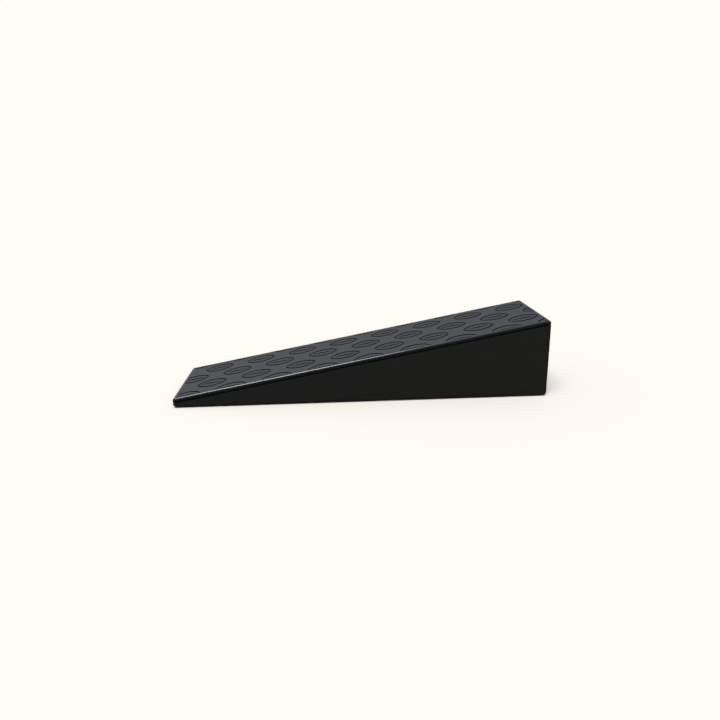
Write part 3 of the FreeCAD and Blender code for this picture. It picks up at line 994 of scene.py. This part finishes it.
@dataclass
class FootPads(SubAssembly):
    """Stadium-shaped rubber pads with cross grooves underneath, each in its recess in the cover.

    Attributes:
        finish: The rubber.
        names: The frame's nodes that the pads stand for.
        lower_edge: Radius of a pad's lower edge.
        edge_steps: Straight pieces that the rounded edge is made of.
        groove_width: Width of a groove.
        groove_spacing: From groove to groove.
        margin: Length at each end that has no grooves.
    """

    finish: PadRubber
    names: tuple[str, ...]
    lower_edge: float = 0.45 * MM
    edge_steps: int = 4
    groove_width: float = 1.1 * MM
    groove_spacing: float = 2.5 * MM
    margin: float = 4.0 * MM

    def pad(self, node: str) -> bpy.types.Object:
        """Makes one pad.

        Args:
            node: The frame's node that it stands for.

        Returns:
            The pad.
        """
        low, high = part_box(node)
        run = Run.LENGTHWISE if high.x - low.x > high.y - low.y else Run.CROSSWISE
        length, width = sorted((high.x - low.x, high.y - low.y), reverse=True)
        rings = []
        outline = round_outline(length / 2, width / 2, width / 2, steps=12)
        edge = self.lower_edge
        for step in range(self.edge_steps + 1):
            angle = QUARTER_TURN * step / self.edge_steps
            inset, rise = edge * (1 - math.sin(angle)), edge * (1 - math.cos(angle))
            rings.append([place - outward * inset + Vector((0, 0, rise)) for place, outward in outline])
        rings.append([place + Vector((0, 0, high.z - low.z)) for place, _ in outline])
        pad = closed_mesh(f"{node}_grooved", rings)

        graph = GeometryGraph(f"{node}_grooves")
        spacing, groove_width = graph.inputs(self, "groove_spacing", "groove_width")
        count = int((length - 2 * self.margin) / self.groove_spacing) + 1
        bar = graph.cylinder(16, groove_width / 2, width * 1.5)
        sockets = {
            "Count": graph.input("Groove count", count, InputKind.COUNT),
            "Start Location": graph.vector(spacing * ((1 - count) / 2)),
            "Offset": graph.vector(spacing),
        }
        line = graph.take("GeometryNodeMeshLine", sockets)
        bars = graph.copies(line, graph.moved(bar, STILL, (QUARTER_TURN, 0.0, 0.0)))
        graph.finish(graph.combined("DIFFERENCE", graph.base, bars), pad, self.finish.material())
        middle = Vector(((low.x + high.x) / 2, (low.y + high.y) / 2, low.z))
        pad.data.transform(Matrix.Translation(middle) @ Matrix.Rotation(run.value, 4, "Z"))
        smooth(pad, 40.0)
        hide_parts(node)
        return pad

    def build(self) -> list[bpy.types.Object]:
        """Makes all the pads and returns them."""
        return [self.pad(name) for name in self.names]


@dataclass
class CoverScrews(SubAssembly):
    """Countersunk thread-forming screws with a cross recess, point up in the shell's bosses.

    Attributes:
        finish: The plating.
        columns: Screws along the board.
        head: Radius of the head.
        head_edge: Height of the head's rounded edge.
        core: Radius of the shank under the thread.
        point: Length of the point.
        tip: Radius at the very end of the point.
        thread: Radius over the thread.
        pitch: From turn to turn of the thread.
        thread_gap: From the thread's end to the screw's end.
        recess_depth: Depth of the cross recess.
        recess_width: Width of the cross recess's cutter at its wide end, just outside the head.
        recess_slot: Thickness of one of the cutter's blades there.
        sides: Straight pieces round the screw.
        seed: Settles how far each screw is turned.
    """

    finish: ZincPlate
    columns: int = 4
    head: float = 3.95 * MM
    head_edge: float = 0.25 * MM
    core: float = 1.45 * MM
    point: float = 1.6 * MM
    tip: float = 0.1 * MM
    thread: float = 1.88 * MM
    pitch: float = 1.3 * MM
    thread_gap: float = 2.0 * MM
    recess_depth: float = 1.6 * MM
    recess_width: float = 4.4 * MM
    recess_slot: float = 0.95 * MM
    sides: int = 48
    seed: int = 7

    def blank(self, length: float) -> bpy.types.Object:
        """Makes a screw without its thread and recess, head down, on the Z axis.

        Args:
            length: The screw's whole length.

        Returns:
            The blank.
        """
        cone = self.head_edge + self.head - self.core
        outline = [
            (self.head - self.head_edge, 0.0),
            (self.head - self.head_edge * 0.3, self.head_edge * 0.3),
            (self.head, self.head_edge),
            (self.core, cone),
            (self.core, length - self.point),
            (self.tip, length),
        ]
        turns = [math.tau * step / self.sides for step in range(self.sides)]
        rings = [[Vector((r * math.cos(a), r * math.sin(a), z)) for a in turns] for r, z in outline]
        return closed_mesh("screws", rings)

    def build(self) -> list[bpy.types.Object]:
        """Makes the screws as one piece and returns it."""
        low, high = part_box("cover_screws")
        length = high.z - low.z
        screws = self.blank(length)
        graph = GeometryGraph("screw_set")

        depth, width, slot = graph.inputs(self, "recess_depth", "recess_width", "recess_slot")
        x, y, z = graph.split(graph.take("GeometryNodeInputPosition"))  # z: -0.5 at the wide end
        narrow, thin, deep = 0.65 - z * 0.7, 0.9 - z * 0.2, (z + 0.3) * depth * 1.25
        block = graph.take("GeometryNodeMeshCube", {"Size": (1.0, 1.0, 1.0)})
        shape = graph.vector(x * width * narrow, y * slot * thin, deep)
        blade = graph.take("GeometryNodeSetPosition", {"Geometry": block, "Position": shape})
        blades = [graph.moved(blade, STILL, (0.0, 0.0, turn)) for turn in (0.0, QUARTER_TURN)]
        headed = graph.combined("DIFFERENCE", graph.base, *blades)

        turns = (length - self.thread_gap - self.head) / self.pitch
        sockets = {
            "Resolution": 24,
            "Rotations": turns,
            "Start Radius": self.core,
            "End Radius": self.core,
            "Height": graph.input("Pitch", self.pitch) * turns,
        }
        spiral = graph.take("GeometryNodeCurveSpiral", sockets)
        sockets = {"Resolution": 4, "Radius": graph.input("Thread height", self.thread - self.core)}
        ridge = graph.take("GeometryNodeCurvePrimitiveCircle", sockets)
        sockets = {"Curve": spiral, "Profile Curve": ridge, "Fill Caps": True}
        thread = graph.take("GeometryNodeCurveToMesh", sockets)
        screw = graph.combined("UNION", headed, graph.moved(thread, (0.0, 0.0, self.head)))

        size_x = graph.input("Screws' length", high.x - low.x - 2 * self.head)
        size_y = graph.input("Screws' width", high.y - low.y - 2 * self.head)
        middle = ((low.x + high.x) / 2, (low.y + high.y) / 2, low.z)
        points = graph.moved(graph.grid(size_x, size_y, self.columns, 2), middle)
        sockets = {2: 0.0, 3: math.tau, "Seed": self.seed}
        turn = graph.take("FunctionNodeRandomValue", sockets, output=1, data_type="FLOAT")
        placed = graph.copies(points, screw, graph.vector(0.0, 0.0, turn))
        graph.finish(placed, screws, self.finish.material())
        smooth(screws, 35.0)
        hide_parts("cover_screws")
        return [screws]


@dataclass
class Body(SubAssembly):
    """The pieces whose shape the frame already holds: the shell, its cover, the ribs and the adhesive sheet.

    Attributes:
        nodes: The frame's objects, by name.
        finishes: A finish for each of them.
    """

    nodes: dict[str, bpy.types.Object]
    finishes: dict[str, Finish]

    def build(self) -> list[bpy.types.Object]:
        """Dresses the pieces and returns them."""
        dressed = []
        for name, finish in self.finishes.items():
            piece = self.nodes[name]
            piece.material_slots[0].material = finish.material()
            dressed.append(piece)
        return dressed


# ---- The studio ----


@dataclass(frozen=True)
class Lamp:
    """A distant lamp.

    Attributes:
        name: The lamp's name.
        power: What it sends onto a face that is square to it.
        width: Angle that it fills, in degrees.
        place: Its direction.
        shines_only: Whether it is seen in shiny faces only, rather than lighting matt ones only.
    """

    name: str
    power: float
    width: float
    place: tuple[float, float, float]
    shines_only: bool = False

    def hang(self) -> None:
        """Makes the lamp."""
        light = bpy.data.lights.new(self.name, "SUN")
        light.energy = self.power
        light.angle = math.radians(self.width)
        lamp = bpy.data.objects.new(self.name, light)
        lamp.rotation_mode = "QUATERNION"
        lamp.rotation_quaternion = Vector(self.place).to_track_quat("Z", "Y")
        lamp.visible_diffuse = not self.shines_only
        lamp.visible_glossy = self.shines_only
        bpy.context.scene.collection.objects.link(lamp)


@dataclass
class Studio:
    """A pale floor that fades into a pale backdrop, a broad soft lamp, a lamp for the rims, and the camera.

    Attributes:
        paint: The floor's paint.
        floor_radius: Radius of the floor.
        fill: Radiance of the room, as matt faces see it.
        wall: Radiance behind the board, as shiny faces see it.
        gloom: Radiance in front of the board, as shiny faces see it.
        turn: Where the room changes from gloom to wall, as the Y of a direction.
        soft: The broad lamp, which lights the floor and the matt faces.
        edge: The small lamp, which is seen only in shiny faces.
        camera_place: The camera's place.
        camera_yaw: The camera's turn from +Y towards +X, in degrees.
        camera_pitch: How far it looks down, in degrees.
        camera_roll: How far it leans, in degrees.
        lens: Its focal length, in millimetres.
        sensor: Width of its frame, in millimetres.
    """

    paint: StudioPaint
    floor_radius: float = 12.0
    fill: Colour = (0.34, 0.34, 0.34)
    wall: Colour = (0.43, 0.48, 0.515)
    gloom: Colour = (0.07, 0.072, 0.074)
    turn: tuple[float, float] = (-0.45, 0.30)
    soft: Lamp = Lamp("soft_lamp", 2.62, 40.0, (-0.10, -0.40, 0.91))
    edge: Lamp = Lamp("edge_lamp", 1.25, 24.0, (-0.29, 0.36, 0.85), shines_only=True)
    camera_place: tuple[float, float, float] = (-0.0299, -0.6127, 0.2141)
    camera_yaw: float = 2.87
    camera_pitch: float = 16.94
    camera_roll: float = -0.89
    lens: float = 31.32
    sensor: float = 36.0

    def floor(self) -> None:
        """Lays the floor."""
        outline = round_outline(self.floor_radius, self.floor_radius, self.floor_radius, steps=16)
        mesh = bpy.data.meshes.new("floor")
        mesh.from_pydata([place for place, _ in outline], [], [tuple(range(len(outline)))])
        mesh.materials.append(self.paint.material())
        floor = new_object("floor", mesh)
        floor.visible_glossy = False

    def room(self) -> None:
        """Surrounds the stage with a pale backdrop, which lights the board only from above the floor."""
        world = bpy.data.worlds.new("room")
        world.use_nodes = True
        world.node_tree.nodes.clear()
        graph = Graph(world.node_tree)
        _, depth, height = graph.split(graph.take("ShaderNodeTexCoord", output="Generated"))
        shine = graph.blend(depth.fade(*self.turn), self.gloom, self.wall)
        ray = graph.node("ShaderNodeLightPath")
        tone = graph.blend(Signal(graph, ray.outputs["Is Glossy Ray"]), self.fill, shine)
        dome = graph.take("ShaderNodeBackground", {"Color": tone, "Strength": height.fade(-0.02, 0.06)})
        seen = graph.take("ShaderNodeBackground", {"Color": (*self.paint.backdrop, 1.0), "Strength": 1.0})
        sockets = {0: Signal(graph, ray.outputs["Is Camera Ray"]), 1: dome, 2: seen}
        graph.node("ShaderNodeOutputWorld", {"Surface": graph.take("ShaderNodeMixShader", sockets)})
        bpy.context.scene.world = world

    def camera(self) -> None:
        """Sets up the camera."""
        data = bpy.data.cameras.new("camera")
        data.lens = self.lens
        data.sensor_width = self.sensor
        data.clip_start = 10 * MM
        camera = bpy.data.objects.new("camera", data)
        camera.matrix_world = (
            Matrix.Translation(self.camera_place)
            @ Matrix.Rotation(math.radians(-self.camera_yaw), 4, "Z")
            @ Matrix.Rotation(math.radians(90.0 - self.camera_pitch), 4, "X")
            @ Matrix.Rotation(math.radians(self.camera_roll), 4, "Z")
        )
        bpy.context.scene.collection.objects.link(camera)
        bpy.context.scene.camera = camera

    def build(self) -> None:
        """Sets up the floor, the room, the lamps and the camera."""
        self.floor()
        self.room()
        self.soft.hang()
        self.edge.hang()
        self.camera()
        bpy.context.scene.view_settings.view_transform = "Standard"


def clear_scene() -> None:
    """Removes whatever the scene starts with."""
    for left in list(bpy.data.objects):
        bpy.data.objects.remove(left)


def main() -> None:
    """Builds the board's looks round its frame."""
    logging.basicConfig(level=logging.INFO, format="%(name)s: %(message)s", stream=sys.stdout)
    clear_scene()
    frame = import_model()
    nodes = frame["nodes"]
    wedge = Wedge.read(frame["record"])
    LOG.info("slope %.2f degrees, toe %.2f mm high", math.degrees(wedge.slope), wedge.toe_height / MM)

    finishes = {
        "outer_shell": MouldedPlastic("shell plastic", (0.0122, 0.0127, 0.0124), 0.44, scuff_height=4 * MM),
        "base_cover": MouldedPlastic("cover plastic", (0.020, 0.0205, 0.0205), 0.55, grain=0.8 * MM),
        "rib_frame": MouldedPlastic("frame plastic", (0.026, 0.026, 0.027), 0.48),
        "bond_sheet": FoamAdhesive("foam adhesive", (0.008, 0.008, 0.008), 0.9),
    }
    tread = TreadCap(wedge, TreadRubber("tread rubber", (0.0205, 0.0232, 0.0242), 0.50, wedge))
    pads = FootPads(
        PadRubber("pad rubber", (0.026, 0.026, 0.026), 0.8),
        tuple(sorted(name for name in nodes if "_pad_" in name)),
    )
    screws = CoverScrews(ZincPlate("zinc plate", (0.58, 0.59, 0.62), 0.36))
    for assembly in (Body(nodes, finishes), tread, pads, screws):
        for piece in assembly.build():
            if piece.parent is None:
                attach(piece, BODY)
            LOG.info("%s: %s, %d faces", type(assembly).__name__, piece.name, len(piece.data.polygons))
    Studio(StudioPaint("studio paint", (0.92, 0.890, 0.830), 1.0)).build()


if __name__ == "__main__":
    main()
